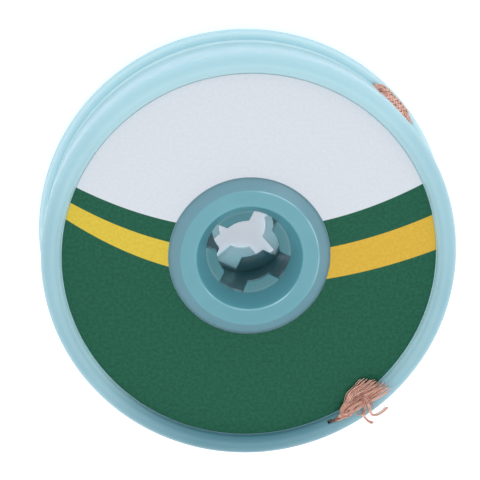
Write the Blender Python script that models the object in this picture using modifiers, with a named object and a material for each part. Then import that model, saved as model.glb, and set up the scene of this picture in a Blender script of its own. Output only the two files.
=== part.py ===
"""A bobbin of desoldering braid, lying on its back face with the label up.

Two moulded halves close round a roll of woven copper braid. The front half's hub tube plugs into the
back half's sleeve, and the braid is wound on that sleeve. The braid's outer turn runs round inside
the rim, shows in a window there, and comes out through a slot in the front ring.
Units are metres. +Z is the bobbin's axis, and the origin is the middle of the back face.
Angles are in degrees, counter-clockwise from +X as seen from the front.
"""

import math

import bmesh
import bpy
import numpy as np
from mathutils import Vector

# The whole bobbin
RING_RADIUS = 0.0270
BOBBIN_HEIGHT = 0.0160
FIT_GAP = 0.0003
SEGMENTS = 64
MERGE_DISTANCE = 0.00001

# The rounded ring round each face
RING_WIDTH = 0.00255
LABEL_EDGE_CLEARANCE = 0.00015
CREST_INSET = 0.00145
RING_ROUND_DEPTH = 0.0015
FACE_RECESS = 0.0010
RING_ARC_STEPS = 5

# The walls
FLANGE_THICKNESS = 0.0012
CHAMBER_WALL = 0.0021
CHAMBER_FILLET = 0.0004

# The front half's skirt and the parting between the halves
SKIRT_DRAFT = 0.00085
LIP_ROUND = 0.0002
PARTING_HEIGHT = 0.0047

# The back half's short skirt and the groove at its foot
BACK_SKIRT_INSET = 0.0010
SHOULDER_HEIGHT = 0.00285
SHOULDER_INSET = 0.00055
GROOVE_DEPTH = 0.0002
GROOVE_WIDTH = 0.0003

# The raised collar round the bore on each face
COLLAR_BASE_RADIUS = 0.0104
COLLAR_TOP_RADIUS = 0.0090
COLLAR_EDGE_ROUND = 0.00015

# The label, a paper ring glued in the front recess
LABEL_THICKNESS = 0.00015
LABEL_GLUE = 0.00005
LABEL_HOLE_CLEARANCE = 0.00015

# The hub: the front half's tube in the back half's sleeve
SLEEVE_RADIUS = 0.0090
SLEEVE_WALL = 0.0016
TUBE_WALL = 0.0012

# The bore: a funnel mouth, and rings of teeth that point inwards
MOUTH_RADIUS = 0.0069
MOUTH_ROUND = 0.00015
FUNNEL_FOOT_RADIUS = 0.0054
FUNNEL_DEPTH = 0.0029
TOOTH_RADIUS = 0.0041
TOOTH_SLOPE = 0.0002
TOOTH_THICKNESS = 0.0008
TOOTH_GAP_WIDTH = 0.0033
TOOTH_GAP_REACH = 0.0055
TOOTH_GAP_ANGLE = 65.0

# The back half's end plate and its tabs
END_PLATE_THICKNESS = 0.0010
TAB_RADIUS = 0.0031
TAB_GAP_WIDTH = 0.0022
TAB_GAP_REACH = 0.0054
TAB_GAP_ANGLE = 40.0

# The window in the rim and the slot in the front ring, where the braid comes out
WINDOW_ANGLE = 42.3
WINDOW_LENGTH = 0.0064
WINDOW_BOTTOM = 0.0029
WINDOW_TOP = 0.0063
SLOT_ANGLE = -63.5
SLOT_LENGTH = 0.0026
SLOT_WIDTH = 0.0011
SLOT_DEPTH = 0.0050
SLOT_EDGE = 0.0001
CUT_MARGIN = 0.0010

# The braid: woven tape, the roll on the hub, and its way to the rim and the face
BRAID_WIDTH = 0.0030
BRAID_THICKNESS = 0.0006
ROLL_TURNS = 5
TURN_PITCH = 0.00086
TURN_RELIEF = 0.00025
ROLL_SEGMENTS = 48
LEAVE_ANGLE = 215.0
ARRIVE_ANGLE = 70.0
WINDOW_BULGE = 0.00175
WINDOW_TILT = 20.0
WINDOW_APPROACH = 0.0060
CLIMB_START = 0.0120
CLIMB_ANGLE = -42.0
CLIMB_BELOW_FLANGE = 0.0022
STEPS_PER_STRETCH = 3
EDGE_CHAMFER = 0.6

# The braid twisted together in the slot, and its hairpin bend above the slot
TWIST_WIDTH = 0.0008
TWIST_THICKNESS = 0.0005
SLOT_ENTRY_RISE = 0.0014
SLOT_SWING = 1.0
HAIRPIN_RISE = 0.0010
HAIRPIN_TILT = 40.0

# The braid's free end on the face, which opens out from the twist to its frayed width
FREE_END_START_RADIUS = 0.0249
FREE_END_START_WIDTH = 0.0012
FREE_END_OPENS_AT = 0.8
FREE_END_RADIUS = 0.0245
FREE_END_SAG = 0.0006
FREE_END_ANGLE = -44.5
FREE_END_WIDTH = 0.0036
FREE_END_THICKNESS = 0.0007

# Heights and radii that follow from these
SEAT_HEIGHT = BOBBIN_HEIGHT - FACE_RECESS - LABEL_THICKNESS - LABEL_GLUE
BACK_SEAT_HEIGHT = BOBBIN_HEIGHT - SEAT_HEIGHT
FRONT_FLANGE_UNDERSIDE = SEAT_HEIGHT - FLANGE_THICKNESS
BACK_FLANGE_TOP = BACK_SEAT_HEIGHT + FLANGE_THICKNESS
RECESS_RADIUS = RING_RADIUS - RING_WIDTH
LABEL_RADIUS = RECESS_RADIUS - LABEL_EDGE_CLEARANCE
CREST_RADIUS = RING_RADIUS - CREST_INSET
CHAMBER_RADIUS = RING_RADIUS - CHAMBER_WALL
SOCKET_RADIUS = SLEEVE_RADIUS - SLEEVE_WALL
TUBE_RADIUS = SOCKET_RADIUS - FIT_GAP
TUBE_BORE_RADIUS = TUBE_RADIUS - TUBE_WALL
TUBE_END_HEIGHT = END_PLATE_THICKNESS + FIT_GAP
FUNNEL_FOOT_HEIGHT = BOBBIN_HEIGHT - FUNNEL_DEPTH
LIP_HEIGHT = PARTING_HEIGHT + FIT_GAP
LIP_RADIUS = RING_RADIUS - SKIRT_DRAFT
BACK_SKIRT_RADIUS = RING_RADIUS - BACK_SKIRT_INSET
SHOULDER_RADIUS = RING_RADIUS - SHOULDER_INSET
ROLL_INNER_RADIUS = SLEEVE_RADIUS + FIT_GAP
ROLL_RADIUS = ROLL_INNER_RADIUS + ROLL_TURNS * TURN_PITCH
ROLL_BOTTOM = BACK_FLANGE_TOP + FIT_GAP
ROLL_TOP = FRONT_FLANGE_UNDERSIDE - FIT_GAP
OUTER_TURN_RADIUS = CHAMBER_RADIUS - FIT_GAP - BRAID_THICKNESS / 2
SLOT_RADIUS = LABEL_RADIUS + SLOT_EDGE + SLOT_WIDTH / 2


def new_collection(name):
    collection = bpy.data.collections.new(name)
    bpy.context.scene.collection.children.link(collection)
    return collection


def plastic(name, color, roughness):
    material = bpy.data.materials.new(name)
    material.use_nodes = True
    shader = material.node_tree.nodes["Principled BSDF"]
    shader.inputs["Base Color"].default_value = (*color, 1.0)
    shader.inputs["Roughness"].default_value = roughness
    return material


def metal(name, color, roughness):
    material = plastic(name, color, roughness)
    material.node_tree.nodes["Principled BSDF"].inputs["Metallic"].default_value = 1.0
    return material


def ellipse_arc(center, radii, start, end, steps):
    """Points (radius, height) on an ellipse between two angles, both ends included."""
    angles = np.radians(np.linspace(start, end, steps + 1))
    return [
        (center[0] + radii[0] * math.cos(angle), center[1] + radii[1] * math.sin(angle))
        for angle in angles
    ]


def turned(name, profile, segments, collection, material):
    """A solid of revolution from a closed profile that runs down its outer side."""
    mesh = bpy.data.meshes.new(name)
    points = [(radius, 0.0, height) for radius, height in profile]
    edges = [(i, (i + 1) % len(points)) for i in range(len(points))]
    mesh.from_pydata(points, edges, [])
    mesh.materials.append(material)
    turned_object = bpy.data.objects.new(name, mesh)
    collection.objects.link(turned_object)
    screw = turned_object.modifiers.new("Turn", "SCREW")
    screw.axis = "Z"
    screw.steps = segments
    screw.render_steps = segments
    screw.use_merge_vertices = True
    screw.merge_threshold = MERGE_DISTANCE
    screw.use_smooth_shade = True
    return turned_object


def cutter_box(name, size, place, angle, collection):
    """A box turned about Z by an angle, hidden in renders, for a Boolean to cut with."""
    mesh = bpy.data.meshes.new(name)
    shape = bmesh.new()
    bmesh.ops.create_cube(shape, size=1.0)
    bmesh.ops.scale(shape, vec=size, verts=shape.verts)
    shape.to_mesh(mesh)
    shape.free()
    cutter = bpy.data.objects.new(name, mesh)
    cutter.location = place
    cutter.rotation_euler = (0.0, 0.0, math.radians(angle))
    cutter.hide_render = True
    cutter.display_type = "WIRE"
    collection.objects.link(cutter)
    return cutter


def boolean(target, other, operation):
    modifier = target.modifiers.new(f"{operation.title()} {other.name}", "BOOLEAN")
    modifier.operation = operation
    modifier.object = other
    modifier.solver = "EXACT"


def cut_gaps(target, name, width, reach, bottom, top, first_angle, collection):
    """Four gaps in a ring of teeth, from two boxes that cross on the axis."""
    for number in range(2):
        cutter = cutter_box(
            f"{name}_{number + 1}",
            (2 * reach, width, top - bottom),
            (0.0, 0.0, (bottom + top) / 2),
            first_angle + 90.0 * number,
            collection,
        )
        boolean(target, cutter, "DIFFERENCE")


def polar(radius, angle, height):
    turn = math.radians(angle)
    return Vector((radius * math.cos(turn), radius * math.sin(turn), height))


def front_ring_arcs():
    """The front ring's inner round up to its crest, and its outer round down to its widest circle."""
    inner = ellipse_arc(
        (CREST_RADIUS, BOBBIN_HEIGHT - FACE_RECESS),
        (CREST_RADIUS - RECESS_RADIUS, FACE_RECESS),
        180.0,
        90.0,
        RING_ARC_STEPS,
    )
    outer = ellipse_arc(
        (CREST_RADIUS, BOBBIN_HEIGHT - RING_ROUND_DEPTH),
        (CREST_INSET, RING_ROUND_DEPTH),
        90.0,
        0.0,
        RING_ARC_STEPS,
    )
    return inner, outer


def front_profile():
    inner, outer = front_ring_arcs()
    skirt = [
        (LIP_RADIUS, LIP_HEIGHT + LIP_ROUND),
        (LIP_RADIUS - LIP_ROUND, LIP_HEIGHT),
        (CHAMBER_RADIUS, LIP_HEIGHT),
        (CHAMBER_RADIUS, FRONT_FLANGE_UNDERSIDE - CHAMBER_FILLET),
        (CHAMBER_RADIUS - CHAMBER_FILLET, FRONT_FLANGE_UNDERSIDE),
    ]
    lower_tooth_top = TUBE_END_HEIGHT + TOOTH_THICKNESS
    upper_tooth_top = FUNNEL_FOOT_HEIGHT - TOOTH_SLOPE
    upper_tooth_bottom = upper_tooth_top - TOOTH_THICKNESS
    tube = [
        (TUBE_RADIUS, FRONT_FLANGE_UNDERSIDE),
        (TUBE_RADIUS, TUBE_END_HEIGHT),
        (TOOTH_RADIUS, TUBE_END_HEIGHT),
        (TOOTH_RADIUS, lower_tooth_top),
        (TUBE_BORE_RADIUS, lower_tooth_top + TOOTH_SLOPE),
        (TUBE_BORE_RADIUS, upper_tooth_bottom),
        (TOOTH_RADIUS, upper_tooth_bottom),
        (TOOTH_RADIUS, upper_tooth_top),
    ]
    mouth = [
        (FUNNEL_FOOT_RADIUS, FUNNEL_FOOT_HEIGHT),
        (MOUTH_RADIUS, BOBBIN_HEIGHT - MOUTH_ROUND),
        (MOUTH_RADIUS + MOUTH_ROUND, BOBBIN_HEIGHT),
        (COLLAR_TOP_RADIUS, BOBBIN_HEIGHT),
        (COLLAR_TOP_RADIUS + COLLAR_EDGE_ROUND, BOBBIN_HEIGHT - COLLAR_EDGE_ROUND),
        (COLLAR_BASE_RADIUS, SEAT_HEIGHT),
        (RECESS_RADIUS, SEAT_HEIGHT),
    ]
    return outer + skirt + tube + mouth + inner[:-1]


def back_profile():
    """From the top of the short skirt, down its outer side and round to its inner side."""
    shoulder = ellipse_arc(
        (SHOULDER_RADIUS, RING_ROUND_DEPTH),
        (SHOULDER_INSET, SHOULDER_HEIGHT - RING_ROUND_DEPTH),
        90.0,
        0.0,
        RING_ARC_STEPS - 1,
    )
    outer = ellipse_arc(
        (CREST_RADIUS, RING_ROUND_DEPTH),
        (CREST_INSET, RING_ROUND_DEPTH),
        0.0,
        -90.0,
        RING_ARC_STEPS,
    )
    inner = ellipse_arc(
        (CREST_RADIUS, FACE_RECESS),
        (CREST_RADIUS - RECESS_RADIUS, FACE_RECESS),
        -90.0,
        -180.0,
        RING_ARC_STEPS,
    )
    skirt = [
        (BACK_SKIRT_RADIUS, PARTING_HEIGHT),
        (BACK_SKIRT_RADIUS, SHOULDER_HEIGHT + GROOVE_WIDTH),
        (BACK_SKIRT_RADIUS - GROOVE_DEPTH, SHOULDER_HEIGHT + GROOVE_WIDTH / 2),
        (BACK_SKIRT_RADIUS - GROOVE_DEPTH, SHOULDER_HEIGHT),
    ]
    collar = [
        (RECESS_RADIUS, BACK_SEAT_HEIGHT),
        (COLLAR_BASE_RADIUS, BACK_SEAT_HEIGHT),
        (COLLAR_TOP_RADIUS + COLLAR_EDGE_ROUND, COLLAR_EDGE_ROUND),
        (COLLAR_TOP_RADIUS, 0.0),
        (TAB_RADIUS, 0.0),
        (TAB_RADIUS, END_PLATE_THICKNESS),
        (SOCKET_RADIUS, END_PLATE_THICKNESS),
    ]
    sleeve = [
        (SOCKET_RADIUS, ROLL_TOP),
        (SLEEVE_RADIUS, ROLL_TOP),
        (SLEEVE_RADIUS, BACK_FLANGE_TOP),
        (CHAMBER_RADIUS - CHAMBER_FILLET, BACK_FLANGE_TOP),
        (CHAMBER_RADIUS, BACK_FLANGE_TOP + CHAMBER_FILLET),
        (CHAMBER_RADIUS, PARTING_HEIGHT),
    ]
    return skirt + shoulder + outer[1:] + inner[1:] + collar + sleeve


def label_profile():
    bottom = SEAT_HEIGHT + LABEL_GLUE
    top = bottom + LABEL_THICKNESS
    inner_radius = COLLAR_BASE_RADIUS + LABEL_HOLE_CLEARANCE
    return [(LABEL_RADIUS, top), (LABEL_RADIUS, bottom), (inner_radius, bottom), (inner_radius, top)]


def roll_profile():
    """The wound roll, with one ridge for each turn on both its ends."""
    top = []
    bottom = []
    for turn in range(ROLL_TURNS):
        outer = ROLL_RADIUS - turn * TURN_PITCH
        middle = outer - TURN_PITCH / 2
        top.append((outer, ROLL_TOP - TURN_RELIEF))
        top.append((middle, ROLL_TOP))
        bottom.append((outer, ROLL_BOTTOM + TURN_RELIEF))
        bottom.append((middle, ROLL_BOTTOM))
    inner = [(ROLL_INNER_RADIUS, ROLL_TOP - TURN_RELIEF), (ROLL_INNER_RADIUS, ROLL_BOTTOM + TURN_RELIEF)]
    return [top[0]] + bottom + [inner[1], inner[0]] + top[:0:-1]


def smooth(share):
    return share * share * (3.0 - 2.0 * share)


def mix(first, last, share):
    return first + (last - first) * share


def outward(angle, tilt=0.0):
    """The direction away from the axis, leaning up by a tilt."""
    lean = math.radians(tilt)
    return polar(math.cos(lean), angle, math.sin(lean))


def arc_degrees(length):
    """The angle that a length round the rim takes up."""
    return math.degrees(length / RING_RADIUS)


def window_height():
    return (WINDOW_BOTTOM + WINDOW_TOP) / 2


def spiral_stations():
    """From the outside of the roll out to the rim, and on to just before the window."""
    start_radius = ROLL_RADIUS - BRAID_THICKNESS / 2
    start_height = (ROLL_BOTTOM + ROLL_TOP) / 2
    stations = []
    steps = 7
    for step in range(steps + 1):
        share = step / steps
        angle = mix(LEAVE_ANGLE, ARRIVE_ANGLE, share)
        radius = mix(start_radius, OUTER_TURN_RADIUS, smooth(share))
        height = mix(start_height, window_height(), smooth(share))
        stations.append((polar(radius, angle, height), outward(angle), BRAID_WIDTH, BRAID_THICKNESS))
    return stations


def window_stations():
    """The shallow bulge out through the window, flat on top and steep at the window's two ends."""
    end = WINDOW_LENGTH / 2
    half = (
        (WINDOW_APPROACH, 0.0),
        (end + BRAID_THICKNESS / 5, 0.06),
        (end * 0.55, 0.84),
    )
    course = [*half, (0.0, 1.0), *((-offset, share) for offset, share in reversed(half))]
    stations = []
    for offset, share in course:
        angle = WINDOW_ANGLE + arc_degrees(offset)
        middle = polar(OUTER_TURN_RADIUS + WINDOW_BULGE * share, angle, window_height())
        stations.append((middle, outward(angle, WINDOW_TILT * share), BRAID_WIDTH, BRAID_THICKNESS))
    return stations


def climb_stations():
    """Round inside the rim and up to just under the front flange."""
    start_angle = WINDOW_ANGLE - arc_degrees(CLIMB_START)
    top = FRONT_FLANGE_UNDERSIDE - CLIMB_BELOW_FLANGE
    stations = []
    steps = 4
    for step in range(steps + 1):
        share = step / steps
        angle = mix(start_angle, CLIMB_ANGLE, share)
        height = mix(window_height(), top, smooth(share))
        middle = polar(OUTER_TURN_RADIUS, angle, height)
        stations.append((middle, outward(angle), BRAID_WIDTH, BRAID_THICKNESS))
    return stations


def slot_stations():
    """Narrowing to a twist on the way to the slot, up through it, and over in a hairpin bend."""
    top = FRONT_FLANGE_UNDERSIDE - CLIMB_BELOW_FLANGE
    entry_angle = SLOT_ANGLE + SLOT_SWING
    stations = []
    steps = 6
    for step in range(1, steps):
        share = step / steps
        angle = mix(CLIMB_ANGLE, entry_angle, share)
        width = mix(BRAID_WIDTH, TWIST_WIDTH, smooth(share))
        thickness = mix(BRAID_THICKNESS, TWIST_THICKNESS, smooth(share))
        radius = CHAMBER_RADIUS - FIT_GAP - thickness / 2
        middle = polar(radius, angle, top + SLOT_ENTRY_RISE * share**3)
        stations.append((middle, outward(angle), width, thickness))

    course = (
        (SLOT_RADIUS - FIT_GAP, SLOT_SWING, top + SLOT_ENTRY_RISE, 0.0),
        (SLOT_RADIUS, -SLOT_SWING / 2, SEAT_HEIGHT, 0.0),
        (SLOT_RADIUS, -SLOT_SWING, BOBBIN_HEIGHT + FIT_GAP, 0.0),
        (SLOT_RADIUS, -SLOT_SWING / 2, BOBBIN_HEIGHT + HAIRPIN_RISE, HAIRPIN_TILT),
    )
    for radius, swing, height, tilt in course:
        middle = polar(radius, SLOT_ANGLE + swing, height)
        stations.append((middle, outward(SLOT_ANGLE, tilt), TWIST_WIDTH, TWIST_THICKNESS))
    return stations


def free_end_stations():
    """Flat over the ring's crest, sagging a little towards the label and pointing out at its tip."""
    start_angle = SLOT_ANGLE + SLOT_SWING
    rest = BOBBIN_HEIGHT + FIT_GAP
    stations = []
    steps = 4
    for step in range(steps + 1):
        share = step / steps
        sag = FREE_END_SAG * 4.0 * share * (1.0 - share)
        radius = mix(FREE_END_START_RADIUS, FREE_END_RADIUS, share) - sag
        angle = mix(start_angle, FREE_END_ANGLE, share)
        opened = smooth(min(1.0, share / FREE_END_OPENS_AT))
        width = mix(FREE_END_START_WIDTH, FREE_END_WIDTH, opened)
        thickness = mix(TWIST_THICKNESS, FREE_END_THICKNESS, smooth(share))
        middle = polar(radius, angle, rest + thickness / 2)
        stations.append((middle, Vector((0.0, 0.0, 1.0)), width, thickness))
    return stations


def braid_stations():
    """Places along the braid's free length: (point, normal, width, thickness)."""
    return (
        spiral_stations()
        + window_stations()
        + climb_stations()
        + slot_stations()
        + free_end_stations()
    )


def catmull_rom(values, steps):
    """A smooth row of values through the given ones, steps to each stretch."""
    rows = np.array(values, dtype=float)
    ends = np.vstack([2 * rows[0] - rows[1], rows, 2 * rows[-1] - rows[-2]])
    smooth_rows = []
    for before, here, there, after in zip(ends, ends[1:], ends[2:], ends[3:]):
        for share in np.arange(steps) / steps:
            smooth_rows.append(
                0.5
                * (
                    2 * here
                    + (there - before) * share
                    + (2 * before - 5 * here + 4 * there - after) * share**2
                    + (3 * here - before - 3 * there + after) * share**3
                )
            )
    smooth_rows.append(rows[-1])
    return np.array(smooth_rows)


def ribbon(name, stations, collection, material):
    """A tape of flat octagon section, lofted along its stations and closed at both ends."""
    rows = [[*point, *normal, width, thickness] for point, normal, width, thickness in stations]
    rows = catmull_rom(rows, STEPS_PER_STRETCH)
    shape = bmesh.new()
    rings = []
    for i, row in enumerate(rows):
        along = Vector(rows[min(i + 1, len(rows) - 1)][:3] - rows[max(i - 1, 0)][:3]).normalized()
        across = along.cross(Vector(row[3:6])).normalized()
        up = across.cross(along).normalized()
        half_width, half_thickness = row[6] / 2, row[7] / 2
        corner = EDGE_CHAMFER * half_thickness
        section = (
            (half_width, half_thickness - corner),
            (half_width - corner, half_thickness),
            (corner - half_width, half_thickness),
            (-half_width, half_thickness - corner),
            (-half_width, corner - half_thickness),
            (corner - half_width, -half_thickness),
            (half_width - corner, -half_thickness),
            (half_width, corner - half_thickness),
        )
        middle = Vector(row[:3])
        rings.append([shape.verts.new(middle + across * x + up * y) for x, y in section])
    for ring, following in zip(rings, rings[1:]):
        for j in range(len(ring)):
            k = (j + 1) % len(ring)
            shape.faces.new((ring[j], ring[k], following[k], following[j]))
    shape.faces.new(rings[0])
    shape.faces.new(rings[-1])
    bmesh.ops.recalc_face_normals(shape, faces=shape.faces)
    mesh = bpy.data.meshes.new(name)
    shape.to_mesh(mesh)
    shape.free()
    mesh.materials.append(material)
    ribbon_object = bpy.data.objects.new(name, mesh)
    collection.objects.link(ribbon_object)
    return ribbon_object


def build_shells(parts, cutters, material):
    front = turned("front_shell", front_profile(), SEGMENTS, parts, material)
    back = turned("back_shell", back_profile(), SEGMENTS, parts, material)
    upper_teeth_top = FUNNEL_FOOT_HEIGHT
    upper_teeth_bottom = upper_teeth_top - TOOTH_SLOPE - TOOTH_THICKNESS
    lower_teeth_top = TUBE_END_HEIGHT + TOOTH_THICKNESS + TOOTH_SLOPE
    gap = (TOOTH_GAP_WIDTH, TOOTH_GAP_REACH)
    over = FIT_GAP / 2
    cut_gaps(front, "upper_tooth_gap", *gap, upper_teeth_bottom - over, upper_teeth_top + over,
             TOOTH_GAP_ANGLE, cutters)
    cut_gaps(front, "lower_tooth_gap", *gap, TUBE_END_HEIGHT - over, lower_teeth_top + over,
             TOOTH_GAP_ANGLE, cutters)
    cut_gaps(back, "tab_gap", TAB_GAP_WIDTH, TAB_GAP_REACH, -over, END_PLATE_THICKNESS + over,
             TAB_GAP_ANGLE, cutters)

    window = cutter_box(
        "window_cutter",
        (2 * (CHAMBER_WALL + CUT_MARGIN), WINDOW_LENGTH, WINDOW_TOP - WINDOW_BOTTOM),
        polar(RING_RADIUS, WINDOW_ANGLE, window_height()),
        WINDOW_ANGLE,
        cutters,
    )
    slot = cutter_box(
        "slot_cutter",
        (SLOT_WIDTH, SLOT_LENGTH, SLOT_DEPTH + CUT_MARGIN),
        polar(SLOT_RADIUS, SLOT_ANGLE, BOBBIN_HEIGHT + (CUT_MARGIN - SLOT_DEPTH) / 2),
        SLOT_ANGLE,
        cutters,
    )
    for shell in (front, back):
        boolean(shell, window, "DIFFERENCE")
    boolean(front, slot, "DIFFERENCE")


def build_braid(parts, cutters, material):
    roll = turned("braid", roll_profile(), ROLL_SEGMENTS, parts, material)
    free_length = ribbon("braid_free_length", braid_stations(), cutters, material)
    free_length.hide_render = True
    free_length.display_type = "WIRE"
    boolean(roll, free_length, "UNION")


def main():
    for thing in list(bpy.data.objects):
        bpy.data.objects.remove(thing, do_unlink=True)
    parts = new_collection("desoldering_braid_bobbin")
    cutters = new_collection("cutters")
    teal = plastic("teal_plastic", (0.29, 0.56, 0.63), 0.35)
    paper = plastic("printed_paper", (0.03, 0.15, 0.08), 0.45)
    copper = metal("copper_braid", (0.75, 0.38, 0.27), 0.4)
    build_shells(parts, cutters, teal)
    turned("front_label", label_profile(), SEGMENTS, parts, paper)
    build_braid(parts, cutters, copper)


main()
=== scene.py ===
"""The looks of a bobbin of desoldering braid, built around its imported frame.

Everything is in metres in the frame's own axes: +Z is the bobbin's axis and points out of the
labelled face, +Y is up on the label, and the back face is at height zero, just above the floor.
Angles are in degrees, counter-clockwise from +X as seen from the front.
"""

import math

import bmesh
import bpy
import numpy as np
from mathutils import Matrix, Vector


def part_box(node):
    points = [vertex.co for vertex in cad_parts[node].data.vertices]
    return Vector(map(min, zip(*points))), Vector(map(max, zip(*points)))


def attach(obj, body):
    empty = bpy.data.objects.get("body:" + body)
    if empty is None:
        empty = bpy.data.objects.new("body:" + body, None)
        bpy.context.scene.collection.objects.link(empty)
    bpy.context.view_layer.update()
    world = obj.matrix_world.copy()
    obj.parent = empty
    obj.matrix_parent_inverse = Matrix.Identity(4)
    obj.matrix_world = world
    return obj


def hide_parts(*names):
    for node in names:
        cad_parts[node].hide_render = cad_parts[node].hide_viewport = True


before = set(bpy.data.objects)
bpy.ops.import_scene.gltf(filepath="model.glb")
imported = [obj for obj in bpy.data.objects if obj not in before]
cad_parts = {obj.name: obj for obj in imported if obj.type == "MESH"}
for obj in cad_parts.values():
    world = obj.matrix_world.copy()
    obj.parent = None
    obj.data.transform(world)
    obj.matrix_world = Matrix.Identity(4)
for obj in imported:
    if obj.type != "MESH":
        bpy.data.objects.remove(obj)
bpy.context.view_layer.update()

MM = 0.001


def box_of(node):
    """The lowest and highest corner of one of the frame's solids, to a hundredth of a millimetre."""
    return [[round(value / MM, 2) * MM for value in corner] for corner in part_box(node)]


# The bobbin's sizes, the same as those of the frame's solids
_, (RING_RADIUS, _, BOBBIN_HEIGHT) = box_of("front_shell")
CREST_RADIUS = 25.55 * MM
RING_ROUND_DEPTH = 1.5 * MM
FACE_RECESS = 1.0 * MM
RECESS_RADIUS = 24.45 * MM
SEAT_HEIGHT = 14.8 * MM
FLANGE_THICKNESS = 1.2 * MM
CHAMBER_RADIUS = 24.9 * MM
LIP_RADIUS = 26.15 * MM
PARTING_HEIGHT = 4.7 * MM
BACK_SKIRT_RADIUS = 26.0 * MM
SHOULDER_RADIUS = 26.45 * MM
SHOULDER_HEIGHT = 2.85 * MM
GROOVE_DEPTH = 0.2 * MM
GROOVE_WIDTH = 0.3 * MM
COLLAR_BASE_RADIUS = 10.4 * MM
COLLAR_TOP_RADIUS = 9.0 * MM
TUBE_RADIUS = 7.1 * MM
TUBE_BORE_RADIUS = 5.9 * MM
TUBE_END_HEIGHT = 1.3 * MM
SOCKET_RADIUS = 7.4 * MM
SLEEVE_RADIUS = 9.0 * MM
MOUTH_RADIUS = 6.9 * MM
FUNNEL_FOOT_HEIGHT = 13.1 * MM
TOOTH_RADIUS = 4.1 * MM
TOOTH_THICKNESS = 0.8 * MM
TOOTH_GAP_WIDTH = 3.3 * MM
TOOTH_GAP_REACH = 5.5 * MM
TOOTH_GAP_ANGLE = 65.0
UPPER_TEETH_TOP = 12.9 * MM
LOWER_TEETH_TOP = 2.1 * MM
END_PLATE_THICKNESS = 1.0 * MM
TAB_RADIUS = 3.1 * MM
TAB_GAP_WIDTH = 2.2 * MM
TAB_GAP_REACH = 5.4 * MM
TAB_GAP_ANGLE = 40.0
(_, _, LABEL_BOTTOM), (LABEL_RADIUS, _, LABEL_TOP) = box_of("front_label")
LABEL_HOLE_RADIUS = 10.55 * MM
WINDOW_ANGLE = 42.3
WINDOW_LENGTH = 6.4 * MM
WINDOW_BOTTOM = 2.9 * MM
WINDOW_TOP = 6.3 * MM
SLOT_ANGLE = -63.5
SLOT_RADIUS = 24.95 * MM
SLOT_DEPTH = 5.0 * MM

# Sizes that differ a little from the solids': the gap between the halves is narrower, the mouth's
# foot is wider, and the slot closes up round the wires
LIP_HEIGHT = 4.8 * MM
FUNNEL_FOOT_RADIUS = 5.52 * MM
SLOT_MOUTH_ANGLE = -64.6
SLOT_MOUTH_LENGTH = 0.66 * MM
SLOT_MOUTH_WIDTH = 0.42 * MM

# The foot of the front ring, which rises beside the label to just under its top
FOOT_RADIUS = LABEL_RADIUS + 0.02 * MM
FOOT_LOW = LABEL_TOP - 0.05 * MM
FOOT_HIGH = LABEL_TOP - 0.03 * MM

# The teeth: the angle from one to the next, the slope of the upper ones, the bevel and how far in
# its middle point lies, the overlap with the moulding, and the rounds of easing for the corners
TOOTH_PITCH = 90.0
TOOTH_SLOPE = 0.14
TOOTH_BEVEL = 0.12 * MM
BEVEL_MIDDLE = 0.3
TOOTH_OVERLAP = 0.06 * MM
EASING_ROUNDS = 5

# The cutters of the window and of the slot
WINDOW_CORNER = 0.4 * MM
WINDOW_CUT_DEPTH = 6.2 * MM
SLOT_CORNER = 0.05 * MM
SLOT_OVERSHOOT = 2.0 * MM

# The roll of braid on the hub and the radius of its outer run
ROLL_INNER_RADIUS = 9.3 * MM
ROLL_RADIUS = 13.6 * MM
ROLL_BOTTOM = 2.7 * MM
ROLL_TOP = 13.3 * MM
ROLL_FILLET = 0.2 * MM
ROLL_INNER_FILLET = 0.1 * MM
OUTER_TURN_RADIUS = 24.3 * MM

# How finely the round shapes are made, how much of a side a fillet may take, and from which angle an
# edge is sharp
SEGMENTS = 256
ROLL_SEGMENTS = 128
OUTER_ARC_STEPS = 14
INNER_ARC_STEPS = 12
SHOULDER_ARC_STEPS = 8
FILLET_LIMIT = 0.45
SHARP_ANGLE = 38.0


# Shapes

def polar(radius, angle, height):
    """The point at a radius, an angle round the axis and a height."""
    turn = math.radians(angle)
    return Vector((radius * math.cos(turn), radius * math.sin(turn), height))


def arc(center, radii, start, end, steps):
    """Sharp points (radius, height, no fillet) on an ellipse between two angles."""
    angles = np.radians(np.linspace(start, end, steps + 1))
    return [
        (center[0] + radii[0] * math.cos(angle), center[1] + radii[1] * math.sin(angle), 0.0)
        for angle in angles
    ]


def rounded(corners, steps=4):
    """A closed outline through (x, y, fillet radius) corners, with an arc at each filleted one."""
    outline = []
    count = len(corners)
    for i, (x, y, radius) in enumerate(corners):
        here = np.array((x, y))
        if radius == 0.0:
            outline.append(here)
            continue
        back = np.array(corners[i - 1][:2]) - here
        on = np.array(corners[(i + 1) % count][:2]) - here
        back_length, on_length = np.linalg.norm(back), np.linalg.norm(on)
        back, on = back / back_length, on / on_length
        half = math.acos(float(np.clip(back @ on, -1.0, 1.0))) / 2
        reach = min(radius / math.tan(half), FILLET_LIMIT * back_length, FILLET_LIMIT * on_length)
        true_radius = reach * math.tan(half)
        toward = (back + on) / np.linalg.norm(back + on)
        center = here + toward * true_radius / math.sin(half)
        first = here + back * reach - center
        last = here + on * reach - center
        start = math.atan2(first[1], first[0])
        sweep = math.atan2(last[1], last[0]) - start
        sweep = (sweep + math.pi) % (2 * math.pi) - math.pi
        for step in range(steps + 1):
            angle = start + sweep * step / steps
            outline.append(center + true_radius * np.array((math.cos(angle), math.sin(angle))))
    return outline


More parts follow.
